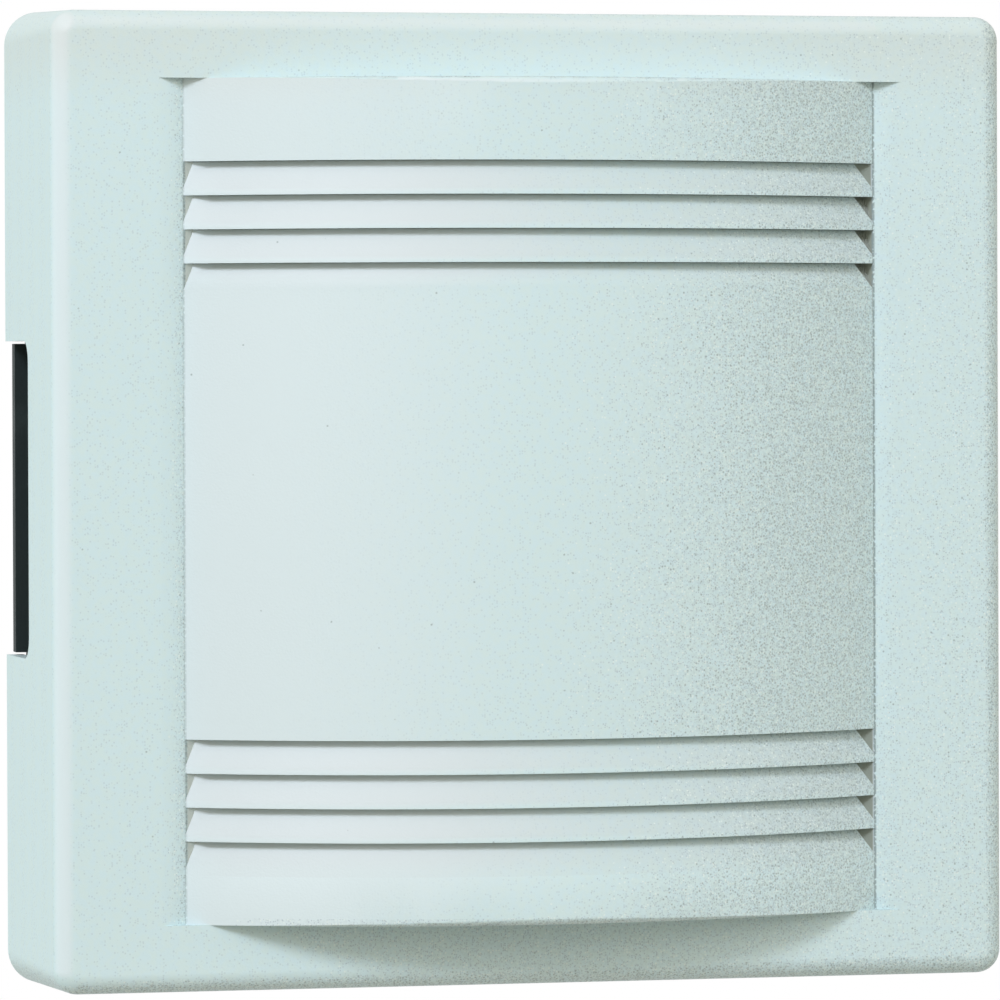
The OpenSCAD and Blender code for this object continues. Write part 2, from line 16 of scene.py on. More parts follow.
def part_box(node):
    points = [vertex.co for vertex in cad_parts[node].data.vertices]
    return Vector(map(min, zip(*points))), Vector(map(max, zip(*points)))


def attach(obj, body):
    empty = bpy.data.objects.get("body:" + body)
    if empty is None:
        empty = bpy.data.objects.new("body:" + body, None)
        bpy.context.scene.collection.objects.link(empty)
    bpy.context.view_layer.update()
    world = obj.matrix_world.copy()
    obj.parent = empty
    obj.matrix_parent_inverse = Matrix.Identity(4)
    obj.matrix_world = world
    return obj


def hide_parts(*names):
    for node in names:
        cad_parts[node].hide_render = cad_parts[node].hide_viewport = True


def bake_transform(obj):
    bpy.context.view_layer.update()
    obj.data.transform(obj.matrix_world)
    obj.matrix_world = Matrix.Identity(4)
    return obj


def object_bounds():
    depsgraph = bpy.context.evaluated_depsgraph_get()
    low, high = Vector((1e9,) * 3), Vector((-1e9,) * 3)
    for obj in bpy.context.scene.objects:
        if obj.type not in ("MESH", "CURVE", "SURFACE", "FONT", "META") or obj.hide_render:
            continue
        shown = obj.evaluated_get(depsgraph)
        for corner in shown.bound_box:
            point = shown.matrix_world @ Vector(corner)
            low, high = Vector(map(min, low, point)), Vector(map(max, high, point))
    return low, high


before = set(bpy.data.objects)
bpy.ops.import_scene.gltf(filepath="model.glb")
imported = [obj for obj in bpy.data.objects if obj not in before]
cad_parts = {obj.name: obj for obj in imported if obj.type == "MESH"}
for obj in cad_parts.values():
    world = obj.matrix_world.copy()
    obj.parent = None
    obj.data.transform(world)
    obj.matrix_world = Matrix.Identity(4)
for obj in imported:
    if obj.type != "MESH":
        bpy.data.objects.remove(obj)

LOG = logging.getLogger("chime_box")
MM = 0.001
WELD = 0.001 * MM
FLAT_ANGLE = math.radians(0.2)
CAD_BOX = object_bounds()

# The panel's bow is a cylinder whose axis stands upright behind the wall
BOW_R = 91.3 * MM
BOW_AXIS_Y = 44.8 * MM

Color = Tuple[float, float, float]
Point = Tuple[float, float, float]

BLACK: Color = (0.0, 0.0, 0.0)
WHITE: Color = (1.0, 1.0, 1.0)


class Body(Enum):
    """The bodies that pieces ride on."""

    BASE = "base"
    PLUNGER = "plunger"
    COVER = "cover"


class Side(Enum):
    """Left or right of the middle, as seen from the room."""

    LEFT = -1
    RIGHT = 1


# Shader graph

Number = Union[int, float]
Term = Union["Sock", int, float]


class Sock:
    """A node's output that takes part in arithmetic."""

    def __init__(self, graph: "Graph", socket: Optional[bpy.types.NodeSocket]) -> None:
        """Keeps the socket and the graph that owns it."""
        self.graph = graph
        self.socket = socket

    def __add__(self, other: Term) -> "Sock":
        """self + other."""
        return self.graph.math("ADD", self, other)

    def __radd__(self, other: Number) -> "Sock":
        """other + self."""
        return self.graph.math("ADD", other, self)

    def __sub__(self, other: Term) -> "Sock":
        """self - other."""
        return self.graph.math("SUBTRACT", self, other)

    def __rsub__(self, other: Number) -> "Sock":
        """other - self."""
        return self.graph.math("SUBTRACT", other, self)

    def __mul__(self, other: Term) -> "Sock":
        """self * other."""
        return self.graph.math("MULTIPLY", self, other)

    def __rmul__(self, other: Number) -> "Sock":
        """other * self."""
        return self.graph.math("MULTIPLY", other, self)

    def __abs__(self) -> "Sock":
        """The size of self."""
        return self.graph.math("ABSOLUTE", self)

    def __lt__(self, other: Term) -> "Sock":
        """1 where self is below other, else 0."""
        return self.graph.math("LESS_THAN", self, other)

    def most(self, other: Term) -> "Sock":
        """The larger of self and other."""
        return self.graph.math("MAXIMUM", self, other)

    def step(self, low: Term, high: Term) -> "Sock":
        """Rises smoothly from 0 at low to 1 at high, or falls if low is above high.

        Args:
            low: value at which the result is 0.
            high: value at which the result is 1.

        Returns:
            The eased value.
        """
        settings = {"interpolation_type": "SMOOTHSTEP"}
        sockets = {"Value": self, "From Min": low, "From Max": high}
        return self.graph.node("ShaderNodeMapRange", settings, sockets)


class Graph:
    """The node tree of one material or of the world."""

    def __init__(self, tree: bpy.types.NodeTree) -> None:
        """Empties the tree."""
        self.tree = tree
        tree.nodes.clear()

    def node(
        self,
        kind: str,
        settings: Optional[Mapping[str, Any]] = None,
        sockets: Optional[Mapping[Union[str, int], Any]] = None,
        out: Union[str, int] = 0,
    ) -> Sock:
        """Adds one node.

        Args:
            kind: the node's type.
            settings: its properties, set first; "stops" sets a ramp's stops.
            sockets: values or links of its inputs, by name or index.
            out: the output to return.

        Returns:
            The output, or an empty Sock where the node has none.
        """
        made = self.tree.nodes.new(kind)
        for name, value in (settings or {}).items():
            if name == "stops":
                self._set_stops(made.color_ramp, value)
            else:
                setattr(made, name, value)
        for key, value in (sockets or {}).items():
            if isinstance(value, Sock):
                self.tree.links.new(value.socket, made.inputs[key])
            else:
                made.inputs[key].default_value = value
        return Sock(self, made.outputs[out] if made.outputs else None)

    @staticmethod
    def _set_stops(ramp: bpy.types.ColorRamp, stops: Sequence[Tuple[float, Color]]) -> None:
        """Gives a ramp its stops.

        Args:
            ramp: the ramp.
            stops: each stop's position and colour.
        """
        while len(ramp.elements) < len(stops):
            ramp.elements.new(1.0)
        for element, (position, color) in zip(ramp.elements, stops):
            element.position = position
            element.color = (*color, 1.0)

    def math(self, operation: str, *terms: Term) -> Sock:
        """Adds a Math node on one or two terms."""
        return self.node("ShaderNodeMath", {"operation": operation}, dict(enumerate(terms)))

    def mix(self, factor: Term, first: Any, second: Any, blend: str = "MIX") -> Sock:
        """Mixes two colours.

        Args:
            factor: share of the second colour.
            first: a colour or a link to one.
            second: a colour or a link to one.
            blend: the way of mixing.

        Returns:
            The mixed colour.
        """
        ends = [(*c, 1.0) if isinstance(c, tuple) else c for c in (first, second)]
        settings = {"data_type": "RGBA", "blend_type": blend}
        return self.node("ShaderNodeMix", settings, {0: factor, 6: ends[0], 7: ends[1]}, 2)

    def place(self) -> Sock:
        """Coordinates on the piece, in metres."""
        return self.node("ShaderNodeTexCoord", out="Object")

    def facing(self) -> Sock:
        """The surface's direction on the piece."""
        return self.node("ShaderNodeTexCoord", out="Normal")

    def axes(self, vector: Sock) -> Tuple[Sock, Sock, Sock]:
        """The three parts of a vector."""
        parts = [self.node("ShaderNodeSeparateXYZ", None, {0: vector}, i) for i in range(3)]
        return parts[0], parts[1], parts[2]

    def stretch(self, vector: Sock, factors: Point) -> Sock:
        """A vector with each part times its factor."""
        return self.node("ShaderNodeVectorMath", {"operation": "MULTIPLY"}, {0: vector, 1: factors})

    def toward(self, vector: Sock, direction: Point) -> Sock:
        """How far a vector points along a direction."""
        settings = {"operation": "DOT_PRODUCT"}
        return self.node("ShaderNodeVectorMath", settings, {0: vector, 1: direction}, "Value")

    def apart(self, vector: Sock, point: Point) -> Sock:
        """How far a place lies from a point."""
        settings = {"operation": "DISTANCE"}
        return self.node("ShaderNodeVectorMath", settings, {0: vector, 1: point}, "Value")

    def noise(self, vector: Sock, size: float, detail: float = 2.0) -> Sock:
        """Soft noise from 0 to 1.

        Args:
            vector: where it is read.
            size: size of its blotches, in metres.
            detail: how many finer layers it has.

        Returns:
            The noise.
        """
        sockets = {"Vector": vector, "Scale": 1.0 / size, "Detail": detail}
        return self.node("ShaderNodeTexNoise", None, sockets)

    def bump(self, height: Sock, depth: float, strength: float = 1.0) -> Sock:
        """A normal tilted by a height.

        Args:
            height: from 0 to 1.
            depth: real height of a full step, in metres.
            strength: share of the effect.

        Returns:
            The normal.
        """
        sockets = {"Strength": strength, "Distance": depth, "Height": height}
        return self.node("ShaderNodeBump", None, sockets)

    def surface(self, shader: Sock) -> None:
        """Makes a shader the tree's result."""
        target = "World" if isinstance(self.tree.id_data, bpy.types.World) else "Material"
        self.node("ShaderNodeOutput" + target, None, {"Surface": shader})


# Finishes


@dataclass(frozen=True)
class Finish:
    """What every finish has: its material's name and the record's slot."""

    name: str
    slot: str

    def material(self) -> bpy.types.Material:
        """Makes the finish's material, once.

        Returns:
            The material.
        """
        found = bpy.data.materials.get(self.name)
        if found is None:
            found = bpy.data.materials.new(self.name)
            found.use_nodes = True
            graph = Graph(found.node_tree)
            graph.surface(self.shader(graph))
        return found

    def shader(self, g: Graph) -> Sock:
        """Builds the finish's shader in a graph."""
        raise NotImplementedError


@dataclass(frozen=True)
class GrainedCover(Finish):
    """Pale moulded plastic with a spark-eroded grain, and painted light and shade: grain painted thickest on
    faces turned from the key lamp and in the shadow below the panel, a painted sheen on faces turned to it,
    painted shade on the slat ramps, the top and the right slot ends, and painted light on the left slot ends.
    """

    body: Color = (0.598, 0.745, 0.770)
    cool: Color = (0.585, 0.742, 0.795)
    warm: Color = (0.612, 0.745, 0.745)
    # Painted sheen: a paler, more neutral colour mixed in on faces turned to the key lamp, standing in for
    # its highlight.
    painted_sheen: Color = (0.655, 0.750, 0.780)
    # Dark pit colour; it also paints shade as mottling on faces turned from the key lamp and as dotted lines
    # in the creases.
    pit: Color = (0.270, 0.340, 0.350)
    # Colours of the grain's specks (speck) and peaks (pale), painted thickest where shade falls.
    speck: Color = (0.330, 0.410, 0.475)
    # pale also paints light onto the left slot ends.
    pale: Color = (0.760, 0.840, 0.820)
    # Painted shade on the right ends of the slots.
    shaded: Color = (0.310, 0.345, 0.300)
    # Painted shade: multiplies down the upward-facing slat ramps, which the lamps above light brightly.
    ramp_painted_shade: Color = (0.925, 0.890, 0.885)
    # Painted shade: darkens and warms the cover's top, over the heights given below.
    top_painted_shade: Color = (1.000, 0.945, 0.915)
    top_shade_span: Tuple[float, float] = (51 * MM, 62 * MM)
    # Toward the key lamp, and a lean by place toward the right and bottom: they set where grain is painted
    # thickest, as painted shade.
    light_side: Point = (-0.574, -0.717, 0.394)
    lean: Point = (-2.2, 0.0, 0.5)
    crease_x: float = 47.3 * MM
    crease_top: float = 56 * MM
    cheek_x: float = 42 * MM
    cheek_depth: float = 2.6 * MM
    slots_half: float = 49.5 * MM
    # A lens below the bulging panel, where its cast shadow falls: grain is painted thicker there, as painted
    # shade.
    bulge_foot: float = -55 * MM
    shade_centre: Point = (4 * MM, 0.0, 29.5 * MM)
    shade_r: float = 97.5 * MM
    shade_edge: float = 4 * MM
    stray_share: float = 0.0012
    faint_share: float = 0.26
    faint_size: float = 0.34 * MM
    tint_size: float = 1.1 * MM
    pit_size: float = 0.40 * MM
    speck_size: float = 0.28 * MM
    peak_size: float = 0.36 * MM
    mottle_size: float = 0.50 * MM
    # Blotch size of the dotted painted shade in the creases.
    crease_shade_size: float = 0.45 * MM
    grain_size: float = 0.30 * MM
    grain_depth: float = 0.022 * MM

    def shader(self, g: Graph) -> Sock:
        """Builds the finish's shader in a graph.

        Args:
            g: the graph.

        Returns:
            The shader.
        """
        p, facing = g.place(), g.facing()
        lee = self._lee(g, p, facing)
        # Pits: a few everywhere, painted thick on faces turned from the key lamp.
        pits = self._pits(g, p, self.pit_size, 0.90 * lee * lee * lee + self.stray_share)
        color = self._tinted(g, p, facing)
        color = self._speckled(g, p, color, lee, pits)
        color = self._creased(g, p, facing, color)
        grain = g.noise(p, self.grain_size, 1.0)
        sockets = {
            "Base Color": color,
            "Roughness": 0.46 + 0.14 * grain,
            "Specular IOR Level": 0.5,
            "Normal": g.bump(grain - 0.5 * pits, self.grain_depth),
        }
        return g.node("ShaderNodeBsdfPrincipled", None, sockets)

    def _lee(self, g: Graph, p: Sock, facing: Sock) -> Sock:
        """Finds the side away from the light, where the grain is painted thickest as painted shade.

        Args:
            g: the graph.
            p: coordinates.
            facing: the surface's direction.

        Returns:
            0 on the lit side, rising to 1 on the other; it leans higher toward the right and the bottom, and
            on the bevel right of the panel.
        """
        beside_panel = 1 - (g.axes(p)[0] < self.crease_x)
        trough = g.axes(facing)[0].step(-0.05, -0.25) * beside_panel
        lit = g.toward(facing, self.light_side) + g.toward(p, self.lean) - 0.14 * trough
        return lit.step(0.74, 0.36)

    def _tinted(self, g: Graph, p: Sock, facing: Sock) -> Sock:
        """Mixes the plastic's own colour.

        Args:
            g: the graph.
            p: coordinates.
            facing: the surface's direction.

        Returns:
            The colour with a faint speckle out of the full light, before its grain.
        """
        x, _, z = g.axes(p)
        color = g.mix(g.noise(p, self.tint_size).step(0.35, 0.65), self.cool, self.warm)
        color = g.mix(0.5, color, self.body)
        # Painted sheen on faces turned to the key lamp, left of the right crease.
        painted_sheen = g.toward(facing, self.light_side).step(0.73, 0.92) * (x < self.crease_x)
        color = g.mix(painted_sheen, color, self.painted_sheen)
        # Painted shade on the upward-facing slat ramps.
        slat = g.axes(facing)[2].step(0.05, 0.35) * (abs(x) < self.crease_x) * (abs(z) < self.slots_half)
        color = g.mix(slat, color, self.ramp_painted_shade, "MULTIPLY")
        # Painted shade along the cover's top.
        color = g.mix(z.step(*self.top_shade_span), color, self.top_painted_shade, "MULTIPLY")
        faint = self._pits(g, p, self.faint_size, self.faint_share) * (1 - painted_sheen)
        return g.mix(0.36 * faint, color, self.speck)

    def _speckled(self, g: Graph, p: Sock, color: Sock, lee: Sock, pits: Sock) -> Sock:
        """Adds the grain's pale peaks, fine specks and dark pits, painted thickest where shade falls.

        Args:
            g: the graph.
            p: coordinates.
            color: the colour before its grain.
            lee: where the grain is painted thickest, as painted shade.
            pits: the dark pits, a few everywhere and thick where shade falls.

        Returns:
            The colour with its grain, also painted into the panel's cast shadow below it, as painted shade.
        """
        # Painted shade: grain thickens in the lens where the panel's shadow falls.
        reach = g.apart(g.stretch(p, (1.0, 0.0, 1.0)), self.shade_centre)
        shade = reach.step(self.shade_r, self.shade_r - self.shade_edge) * (g.axes(p)[2] < self.bulge_foot)
        grain_in_painted_shade = lee.most(0.60 * shade)
        peaks = self._pits(g, p, self.peak_size, 0.60 * grain_in_painted_shade)
        specks = self._pits(g, p, self.speck_size, grain_in_painted_shade)
        # Painted shade mottling where the grain is painted thickest.
        mottle = grain_in_painted_shade * g.noise(p, self.mottle_size).step(0.40, 0.75)
        color = g.mix(0.75 * peaks, color, self.pale)
        color = g.mix(0.66 * specks, color, self.speck)
        return g.mix((0.76 * pits).most(0.28 * mottle), color, self.pit)

    def _creased(self, g: Graph, p: Sock, facing: Sock, color: Sock) -> Sock:
        """Paints light onto the left ends of the slots and shade onto their right ends, and dotted painted
        shade into the creases beside the panel.

        Args:
            g: the graph.
            p: coordinates.
            facing: the surface's direction.
            color: the colour with its grain.

        Returns:
            The finished colour.
        """
        x, _, z = g.axes(p)
        left = x < 0
        inward = (g.axes(facing)[0] * (2 * left - 1)).step(0.0, 0.1)
        sunk = BOW_R - g.apart(g.stretch(p, (1.0, 1.0, 0.0)), (0.0, BOW_AXIS_Y, 0.0))
        at_end = (abs(x) < self.crease_x) * (1 - (abs(x) < self.cheek_x)) * (abs(z) < self.slots_half)
        cheek = sunk.step(0.05 * MM, 0.20 * MM) * (sunk < self.cheek_depth) * inward * at_end
        # Painted light on the left slot ends and painted shade on the right ones.
        color = g.mix(cheek * left, color, self.pale)
        color = g.mix(cheek * (1 - left), color, self.shaded)
        # Painted shade: dotted dark lines along the creases beside the panel, stronger on the right.
        crease = abs(abs(x) - self.crease_x).step(0.24 * MM, 0.08 * MM) * (abs(z) < self.crease_top)
        crease_painted_shade = crease * g.noise(p, self.crease_shade_size, 1.0).step(0.34, 0.50)
        return g.mix((0.95 - 0.60 * left) * crease_painted_shade, color, self.pit)

    @staticmethod
    def _pits(g: Graph, p: Sock, pitch: float, share: Term) -> Sock:
        """Round pits, one to a cell, in a share of the cells.

        Args:
            g: the graph.
            p: coordinates.
            pitch: size of a cell.
            share: share of the cells that have a pit.

        Returns:
            1 in a pit and 0 beside it.
        """
        cell = {"Vector": p, "Scale": 1.0 / pitch}
        distance = g.node("ShaderNodeTexVoronoi", None, cell, "Distance")
        chance = g.axes(g.node("ShaderNodeTexVoronoi", None, cell, "Color"))[0]
        return distance.step(0.52, 0.12) * (chance < share)


@dataclass(frozen=True)
class DarkMoulding(Finish):
    """Black moulded plastic with a fine grain and pale rub marks."""

    body: Color = (0.010, 0.018, 0.018)
    rubbed: Color = (0.030, 0.042, 0.043)
    grain_size: float = 0.4 * MM

    def shader(self, g: Graph) -> Sock:
        """Builds the finish's shader in a graph.

        Args:
            g: the graph.

        Returns:
            The shader.
        """
        p = g.place()
        grain = g.noise(p, self.grain_size, 2.0)
        rub = g.noise(p, 9 * MM, 5.0).step(0.52, 0.75)
        color = g.mix(0.55 * rub + 0.25 * grain, self.body, self.rubbed)
        sockets = {
            "Base Color": color,
            "Roughness": 0.55 + 0.16 * grain - 0.10 * rub,
            "Specular IOR Level": 0.25,
            "Normal": g.bump(grain, 0.02 * MM),
        }
        return g.node("ShaderNodeBsdfPrincipled", None, sockets)


@dataclass(frozen=True)
class BrushedSteel(Finish):
    """Steel with fine lines drawn along one direction, blotched by handling."""

    body: Color = (0.56, 0.57, 0.58)
    stained: Color = (0.40, 0.38, 0.35)
    grain: Point = (1.0, 1.0, 0.02)
    line: float = 0.12 * MM
    rough: float = 0.30

    def shader(self, g: Graph) -> Sock:
        """Builds the finish's shader in a graph.

        Args:
            g: the graph.

        Returns:
            The shader.
        """
        p = g.place()
        lines = g.noise(g.stretch(p, self.grain), self.line, 3.0)
        stain = g.noise(p, 7 * MM, 4.0).step(0.50, 0.80)
        color = g.mix(0.45 * stain + 0.25 * lines, self.body, self.stained)
        sockets = {
            "Base Color": color,
            "Metallic": 1.0,
            "Roughness": self.rough + 0.16 * lines + 0.12 * stain,
            "Normal": g.bump(lines, 0.006 * MM),
        }
        return g.node("ShaderNodeBsdfPrincipled", None, sockets)


@dataclass(frozen=True)
class PlatedSteel(Finish):
    """Zinc plate with a faint yellow and blue bloom and small scuffs."""

    body: Color = (0.60, 0.60, 0.57)
    bloom: Color = (0.55, 0.56, 0.63)
    scuffed: Color = (0.36, 0.36, 0.36)

    def shader(self, g: Graph) -> Sock:
        """Builds the finish's shader in a graph.

        Args:
            g: the graph.

        Returns:
            The shader.
        """
        p = g.place()
        hue = g.noise(p, 5 * MM, 2.0).step(0.35, 0.65)
        scuff = g.noise(g.stretch(p, (1.0, 0.25, 0.4)), 0.7 * MM, 4.0).step(0.60, 0.75)
        color = g.mix(0.6 * scuff, g.mix(hue, self.body, self.bloom), self.scuffed)
        sockets = {
            "Base Color": color,
            "Metallic": 1.0,
            "Roughness": 0.27 + 0.10 * hue + 0.20 * scuff,
            "Normal": g.bump(scuff, 0.006 * MM),
        }
        return g.node("ShaderNodeBsdfPrincipled", None, sockets)


@dataclass(frozen=True)
class Nylon(Finish):
    """Natural or ivory moulding, a little translucent, with flow marks."""

    body: Color = (0.72, 0.69, 0.60)
    flow: Color = (0.62, 0.57, 0.45)
    rough: float = 0.42

    def shader(self, g: Graph) -> Sock:
        """Builds the finish's shader in a graph.

        Args:
            g: the graph.

        Returns:
            The shader.
        """
        p = g.place()
        marks = g.noise(g.stretch(p, (1.0, 0.35, 1.0)), 4 * MM, 3.0)
        grain = g.noise(p, 0.35 * MM, 1.0)
        sockets = {
            "Base Color": g.mix(marks.step(0.40, 0.75), self.body, self.flow),
            "Roughness": self.rough + 0.12 * grain,
            "Subsurface Weight": 0.12,
            "Subsurface Radius": (1.2 * MM, 1.0 * MM, 0.7 * MM),
            "Normal": g.bump(grain, 0.010 * MM),
        }
        return g.node("ShaderNodeBsdfPrincipled", None, sockets)


@dataclass(frozen=True)
class SoftRubber(Finish):
    """Black rubber with a dry bloom."""

    body: Color = (0.018, 0.018, 0.018)
    bloom: Color = (0.075, 0.075, 0.072)

    def shader(self, g: Graph) -> Sock:
        """Builds the finish's shader in a graph.

        Args:
            g: the graph.

        Returns:
            The shader.
        """
        p = g.place()
        dust = g.noise(p, 1.6 * MM, 5.0).step(0.45, 0.80)
        sockets = {
            "Base Color": g.mix(dust, self.body, self.bloom),
            "Roughness": 0.66 + 0.2 * dust,
            "Specular IOR Level": 0.3,
            "Normal": g.bump(dust, 0.03 * MM),
        }
        return g.node("ShaderNodeBsdfPrincipled", None, sockets)


@dataclass(frozen=True)
class WoundCopper(Finish):
    """Enamelled wire laid side by side round the plunger's axis."""

    body: Color = (0.55, 0.20, 0.07)
    deep: Color = (0.20, 0.06, 0.02)
    wire: float = 0.28 * MM

    def shader(self, g: Graph) -> Sock:
        """Builds the finish's shader in a graph.

        Args:
            g: the graph.

        Returns:
            The shader.
        """
        p = g.place()
        settings = {"wave_type": "BANDS", "bands_direction": "X", "wave_profile": "SIN"}
        turns = g.node("ShaderNodeTexWave", settings, {"Vector": p, "Scale": math.pi / (10 * self.wire)})
        blotch = g.noise(p, 3 * MM, 3.0)
        sockets = {
            "Base Color": g.mix(turns.step(0.0, 0.7), self.deep, self.body),
            "Metallic": 0.8,
            "Roughness": 0.22 + 0.15 * blotch,
            "Coat Weight": 0.6,
            "Normal": g.bump(turns, 0.10 * MM),
        }
        return g.node("ShaderNodeBsdfPrincipled", None, sockets)


@dataclass(frozen=True)
class FilmTape(Finish):
    """Amber polyester tape, with the lap of each turn and a few creases."""

    body: Color = (0.50, 0.33, 0.05)
    lap: Color = (0.36, 0.20, 0.02)
    width: float = 11 * MM

    def shader(self, g: Graph) -> Sock:
        """Builds the finish's shader in a graph.

        Args:
            g: the graph.

        Returns:
            The shader.
        """
        p = g.place()
        settings = {"wave_type": "BANDS", "bands_direction": "X", "wave_profile": "SAW"}
        turn = g.node("ShaderNodeTexWave", settings, {"Vector": p, "Scale": math.pi / (10 * self.width)})
        lap = turn.step(0.70, 0.74)
        crease = g.noise(g.stretch(p, (0.3, 1.0, 1.0)), 1.5 * MM, 4.0)
        sockets = {
            "Base Color": g.mix(0.8 * lap + 0.2 * crease, self.body, self.lap),
            "Roughness": 0.16 + 0.18 * crease,
            "Coat Weight": 0.4,
            "Normal": g.bump(lap + 0.4 * crease, 0.06 * MM),
        }
        return g.node("ShaderNodeBsdfPrincipled", None, sockets)


@dataclass(frozen=True)
class PlainBrass(Finish):
    """Machined brass, a little tarnished."""

    body: Color = (0.72, 0.50, 0.20)
    tarnish: Color = (0.36, 0.22, 0.08)

    def shader(self, g: Graph) -> Sock:
        """Builds the finish's shader in a graph.

        Args:
            g: the graph.

        Returns:
            The shader.
        """
        p = g.place()
        dull = g.noise(p, 1.5 * MM, 4.0).step(0.45, 0.80)
        lines = g.noise(g.stretch(p, (0.1, 1.0, 1.0)), 0.1 * MM, 2.0)
        sockets = {
            "Base Color": g.mix(0.7 * dull, self.body, self.tarnish),
            "Metallic": 1.0,
            "Roughness": 0.24 + 0.12 * lines + 0.2 * dull,
            "Normal": g.bump(lines, 0.005 * MM),
        }
        return g.node("ShaderNodeBsdfPrincipled", None, sockets)


@dataclass(frozen=True)
class WireSleeve(Finish):
    """Red insulation with a dull, dusty skin."""

    body: Color = (0.36, 0.020, 0.016)
    worn: Color = (0.46, 0.075, 0.055)

    def shader(self, g: Graph) -> Sock:
        """Builds the finish's shader in a graph.

        Args:
            g: the graph.

        Returns:
            The shader.
        """
        p = g.place()
        dust = g.noise(p, 1.2 * MM, 4.0)
        sockets = {
            "Base Color": g.mix(dust.step(0.45, 0.75), self.body, self.worn),
            "Roughness": 0.34 + 0.25 * dust,
            "Normal": g.bump(dust, 0.015 * MM),
        }
        return g.node("ShaderNodeBsdfPrincipled", None, sockets)


COVER_PLASTIC = GrainedCover("cover_plastic_grained", "cover_plastic")
BASE_PLASTIC = DarkMoulding("base_plastic_black", "base_plastic")
TONE_STEEL = BrushedSteel("tone_steel_brushed", "tone_steel")
CORE_STEEL = BrushedSteel(
    "core_steel_turned", "tone_steel", grain=(0.03, 1.0, 1.0), line=0.10 * MM, rough=0.24
)
SPRING_STEEL = BrushedSteel(
    "spring_wire_drawn", "spring_steel", body=(0.58, 0.58, 0.59), stained=(0.30, 0.29, 0.28),
    grain=(0.2, 1.0, 1.0), line=0.08 * MM, rough=0.22,
)
ZINC_PLATE = PlatedSteel("plated_steel_zinc", "plated_steel")
RUBBER = SoftRubber("grommet_rubber", "rubber")
BOBBIN_NYLON = Nylon("bobbin_nylon_natural", "bobbin_nylon")
STRIKER_NYLON = Nylon(
    "striker_nylon_smooth", "striker_nylon", body=(0.78, 0.76, 0.68), flow=(0.70, 0.66, 0.55), rough=0.34
)
TERMINAL_IVORY = Nylon(
    "terminal_moulding_ivory", "terminal_plastic", body=(0.74, 0.70, 0.60), flow=(0.66, 0.61, 0.49), rough=0.4
)
COPPER = WoundCopper("copper_enamelled", "copper_wire")
TAPE = FilmTape("coil_tape_amber", "coil_tape")
BRASS = PlainBrass("terminal_brass_plain", "terminal_brass")
SLEEVE = WireSleeve("lead_sleeve_red", "lead_sleeve")


# Mesh tools


@dataclass(frozen=True)
class Rounding:
    """How a piece's sharp edges are broken."""

    radius: float = 0.20 * MM
    steps: int = 2
    from_angle: float = 32.0

    def takes(self, edge: bmesh.types.BMEdge) -> bool:
        """Whether an edge is broken."""
        return edge.is_manifold and math.degrees(edge.calc_face_angle(0.0)) > self.from_angle


def settle(obj: bpy.types.Object, body: Body, finish: Finish, nodes: Sequence[str]) -> bpy.types.Object:
    """Gives a new piece its finish and its body.

    Args:
        obj: the piece.
        body: the body that it rides on.
        finish: its finish.
        nodes: the solids that it stands for.

    Returns:
        The piece.
    """
    obj.data.materials.clear()
    obj.data.materials.append(finish.material())
    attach(obj, body.value)
    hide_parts(*nodes)
    LOG.info("%s rides on %s and has finish %s", obj.name, body.value, finish.name)
    return obj


def add_object(name: str, mesh: bpy.types.Mesh) -> bpy.types.Object:
    """Links a mesh into the scene as an object.

    Args:
        name: the object's name.
        mesh: its mesh.

    Returns:
        The object.
    """
    obj = bpy.data.objects.new(name, mesh)
    bpy.context.scene.collection.objects.link(obj)
    return obj


def mesh_from(bm: bmesh.types.BMesh, name: str, sharp_from: float) -> bpy.types.Mesh:
    """Turns a bmesh into a smooth mesh with sharp edges where faces meet steeply.

    Args:
        bm: the bmesh, which is freed.
        name: the mesh's name.
        sharp_from: angle from which an edge stays sharp.

    Returns:
        The mesh.
    """
    bmesh.ops.recalc_face_normals(bm, faces=bm.faces)
    for edge in bm.edges:
        edge.smooth = True
    mesh = bpy.data.meshes.new(name)
    bm.to_mesh(mesh)
    bm.free()
    stale = mesh.attributes.get("custom_normal")
    if stale is not None:
        mesh.attributes.remove(stale)
    mesh.shade_smooth()
    mesh.set_sharp_from_angle(angle=sharp_from)
    return mesh


def softened(
    node: str, *roundings: Rounding, reshape: Optional[Callable[[bmesh.types.BMesh], None]] = None
) -> bpy.types.Object:
    """Copies a solid into a new piece whose sharp edges are broken.

    Args:
        node: the solid's name.
        roundings: how its edges are broken, one step after another.
        reshape: what is done to the copy before that.

    Returns:
        The new piece, with weighted normals.
    """
    bm = bmesh.new()
    bm.from_mesh(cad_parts[node].data)
    bmesh.ops.remove_doubles(bm, verts=bm.verts, dist=WELD)
    bmesh.ops.dissolve_limit(bm, angle_limit=FLAT_ANGLE, verts=bm.verts, edges=bm.edges)
    if reshape is not None:
        reshape(bm)
    for rounding in roundings:
        bmesh.ops.bevel(
            bm, geom=[e for e in bm.edges if rounding.takes(e)], offset=rounding.radius, offset_type="OFFSET",
            segments=rounding.steps, profile=0.5, affect="EDGES", clamp_overlap=True,
        )
    obj = add_object(node + "_piece", mesh_from(bm, node + "_piece", math.radians(50)))
    obj.modifiers.new("even_normals", "WEIGHTED_NORMAL").keep_sharp = True
    return obj


